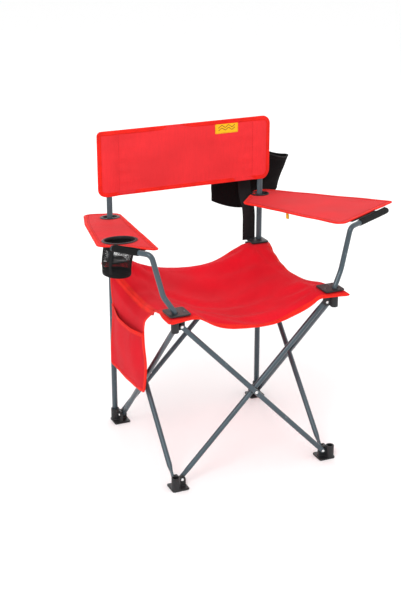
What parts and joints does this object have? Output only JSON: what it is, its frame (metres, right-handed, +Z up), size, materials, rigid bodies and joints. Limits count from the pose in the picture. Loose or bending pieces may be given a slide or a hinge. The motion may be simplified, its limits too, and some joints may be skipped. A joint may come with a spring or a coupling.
{
  "type": "folding camp chair",
  "caption": "Quad-fold camp chair with a sling seat, backrest band, armrest with net cup holder, side table, side pocket and hanging bag.",
  "frame": {"origin": "middle of the whole chair's bounding box in plan, on the ground", "axes": "+Z up, -Y the way the sitter faces, +X to the sitter's left, where the table is"},
  "size_m": [0.9358, 0.6752, 0.92],
  "materials": {
    "frame_steel": "slate blue-grey powder coat, satin",
    "black_plastic": "moulded black nylon, fine texture",
    "rivet_metal": "bright zinc plated",
    "seat_fabric": "coated polyester oxford weave, deep red",
    "back_fabric": "coated polyester oxford weave, red",
    "cup_net": "open black polyester net",
    "bag_fabric": "black polyester with a padded lining",
    "webbing": "black polypropylene webbing"
  },
  "bodies": {
    "frame": {"back_panel": "back_fabric", "foot_rear_left": "black_plastic", "foot_rivet_inner_rear_left": "rivet_metal", "foot_rivet_outer_rear_left": "rivet_metal", "post_left": "frame_steel"},
    "rear_outer": {"cross_rivet_rear": "rivet_metal", "leg_rear_outer": "frame_steel"},
    "rear_inner": {"leg_rear_inner": "frame_steel"},
    "foot_rear_right": {"bag_strap": "webbing", "foot_rear_right": "black_plastic", "foot_rivet_inner_rear_right": "rivet_metal", "foot_rivet_outer_rear_right": "rivet_metal", "hanging_bag": "bag_fabric", "post_right": "frame_steel"},
    "hub_rear_left": {"hub_rear_left": "black_plastic", "hub_rivet_inner_rear_left": "rivet_metal", "hub_rivet_outer_rear_left": "rivet_metal", "seat_plate_rear_left": "black_plastic", "side_pocket": "seat_fabric"},
    "hub_rear_right": {"hub_rear_right": "black_plastic", "hub_rivet_inner_rear_right": "rivet_metal", "hub_rivet_outer_rear_right": "rivet_metal", "seat_plate_rear_right": "black_plastic"},
    "left_inner": {"leg_left_inner": "frame_steel"},
    "left_outer": {"cross_rivet_left": "rivet_metal", "leg_left_outer": "frame_steel"},
    "foot_front_left": {"foot_front_left": "black_plastic", "foot_rivet_inner_front_left": "rivet_metal", "foot_rivet_outer_front_left": "rivet_metal"},
    "hub_front_left": {"arm_tube_left": "frame_steel", "bar_sleeve_left": "webbing", "hub_front_left": "black_plastic", "hub_rivet_inner_front_left": "rivet_metal", "hub_rivet_outer_front_left": "rivet_metal", "seat_plate_front_left": "black_plastic"},
    "front_inner": {"leg_front_inner": "frame_steel"},
    "front_outer": {"cross_rivet_front": "rivet_metal", "leg_front_outer": "frame_steel"},
    "foot_front_right": {"foot_front_right": "black_plastic", "foot_rivet_inner_front_right": "rivet_metal", "foot_rivet_outer_front_right": "rivet_metal"},
    "hub_front_right": {"arm_tube_right": "frame_steel", "bar_sleeve_right": "webbing", "hub_front_right": "black_plastic", "hub_rivet_inner_front_right": "rivet_metal", "hub_rivet_outer_front_right": "rivet_metal", "seat_plate_front_right": "black_plastic"},
    "right_outer": {"cross_rivet_right": "rivet_metal", "leg_right_outer": "frame_steel"},
    "right_inner": {"leg_right_inner": "frame_steel"},
    "armrest": {"armrest_board": "seat_fabric", "cup_mesh": "cup_net", "cup_ring": "black_plastic", "grommet_left": "black_plastic"},
    "side_table": {"grommet_right": "black_plastic", "table_board": "seat_fabric"},
    "seat_left": {"seat_left_half": "seat_fabric"},
    "seat_right": {"seat_right_half": "seat_fabric"}
  },
  "joints": [
    {"name": "fold", "type": "hinge", "parent": "frame", "child": "rear_outer", "pos_m": [-0.29472, 0.19661, 0.025], "axis": [0, -1, 0], "range_deg": [0, 26], "deforming": ["back_panel"]},
    {"name": "rear_cross", "type": "hinge", "parent": "rear_outer", "child": "rear_inner", "pos_m": [-0.07172, 0.18861, 0.2575], "axis": [0, 1, 0], "range_deg": [0, 52.5]},
    {"name": "rear_right_foot", "type": "hinge", "parent": "rear_inner", "child": "foot_rear_right", "pos_m": [0.15128, 0.18061, 0.025], "axis": [0, -1, 0], "range_deg": [0, 26.5]},
    {"name": "rear_left_hub", "type": "hinge", "parent": "rear_inner", "child": "hub_rear_left", "pos_m": [-0.29472, 0.18061, 0.49], "axis": [0, -1, 0], "range_deg": [0, 26.5]},
    {"name": "rear_right_hub", "type": "hinge", "parent": "rear_outer", "child": "hub_rear_right", "pos_m": [0.15128, 0.19661, 0.49], "axis": [0, 1, 0], "range_deg": [0, 26.5]},
    {"name": "left_fold", "type": "hinge", "parent": "frame", "child": "left_inner", "pos_m": [-0.29872, 0.17661, 0.025], "axis": [-1, 0, 0], "range_deg": [0, 26.5]},
    {"name": "left_cross", "type": "hinge", "parent": "left_inner", "child": "left_outer", "pos_m": [-0.30672, -0.04639, 0.2575], "axis": [1, 0, 0], "range_deg": [0, 52.5]},
    {"name": "front_left_foot", "type": "hinge", "parent": "left_outer", "child": "foot_front_left", "pos_m": [-0.31472, -0.26939, 0.025], "axis": [-1, 0, 0], "range_deg": [0, 26.5]},
    {"name": "front_left_hub", "type": "hinge", "parent": "left_inner", "child": "hub_front_left", "pos_m": [-0.29872, -0.26939, 0.49], "axis": [1, 0, 0], "range_deg": [0, 26.5]},
    {"name": "front_fold", "type": "hinge", "parent": "foot_front_left", "child": "front_inner", "pos_m": [-0.29472, -0.27339, 0.025], "axis": [0, -1, 0], "range_deg": [0, 26.5]},
    {"name": "front_cross", "type": "hinge", "parent": "front_inner", "child": "front_outer", "pos_m": [-0.07172, -0.28139, 0.2575], "axis": [0, 1, 0], "range_deg": [0, 52.5]},
    {"name": "front_right_foot", "type": "hinge", "parent": "front_outer", "child": "foot_front_right", "pos_m": [0.15128, -0.28939, 0.025], "axis": [0, -1, 0], "range_deg": [0, 26.5]},
    {"name": "front_right_hub", "type": "hinge", "parent": "front_inner", "child": "hub_front_right", "pos_m": [0.15128, -0.27339, 0.49], "axis": [0, 1, 0], "range_deg": [0, 26.5]},
    {"name": "right_fold", "type": "hinge", "parent": "foot_rear_right", "child": "right_outer", "pos_m": [0.17128, 0.17661, 0.025], "axis": [-1, 0, 0], "range_deg": [0, 26.5]},
    {"name": "right_cross", "type": "hinge", "parent": "right_outer", "child": "right_inner", "pos_m": [0.16328, -0.04639, 0.2575], "axis": [1, 0, 0], "range_deg": [0, 52.5]},
    {"name": "armrest_tilt", "type": "hinge", "parent": "frame", "child": "armrest", "pos_m": [-0.31672, 0.26861, 0.684], "axis": [-1, 0, 0], "range_deg": [0, 43.4], "deforming": ["cup_mesh"]},
    {"name": "table_tilt", "type": "hinge", "parent": "foot_rear_right", "child": "side_table", "pos_m": [0.17328, 0.26861, 0.699], "axis": [-1, 0, 0], "range_deg": [0, 43.4]},
    {"name": "seat_left_drop", "type": "hinge", "parent": "hub_rear_left", "child": "seat_left", "pos_m": [-0.30672, 0.17661, 0.5248], "axis": [0, 1, 0], "range_deg": [0, 46.21], "deforming": ["seat_left_half"]},
    {"name": "seat_right_drop", "type": "hinge", "parent": "hub_rear_right", "child": "seat_right", "pos_m": [0.16328, 0.17661, 0.5248], "axis": [0, -1, 0], "range_deg": [0, 46.21], "deforming": ["seat_right_half"]}
  ],
  "couplings": [
    {"joint": "rear_cross", "follows": "fold", "ratio": 2},
    {"joint": "rear_right_foot", "follows": "fold", "ratio": 1},
    {"joint": "rear_left_hub", "follows": "fold", "ratio": 1},
    {"joint": "rear_right_hub", "follows": "fold", "ratio": 1},
    {"joint": "left_fold", "follows": "fold", "ratio": 1},
    {"joint": "left_cross", "follows": "fold", "ratio": 2},
    {"joint": "front_left_foot", "follows": "fold", "ratio": 1},
    {"joint": "front_left_hub", "follows": "fold", "ratio": 1},
    {"joint": "front_fold", "follows": "fold", "ratio": 1},
    {"joint": "front_cross", "follows": "fold", "ratio": 2},
    {"joint": "front_right_foot", "follows": "fold", "ratio": 1},
    {"joint": "front_right_hub", "follows": "fold", "ratio": 1},
    {"joint": "right_fold", "follows": "fold", "ratio": 1},
    {"joint": "right_cross", "follows": "fold", "ratio": 2},
    {"joint": "armrest_tilt", "follows": "fold", "ratio": 1.65},
    {"joint": "table_tilt", "follows": "fold", "ratio": 1.65},
    {"joint": "seat_left_drop", "follows": "fold", "ratio": 1.758},
    {"joint": "seat_right_drop", "follows": "fold", "ratio": 1.758}
  ]
}
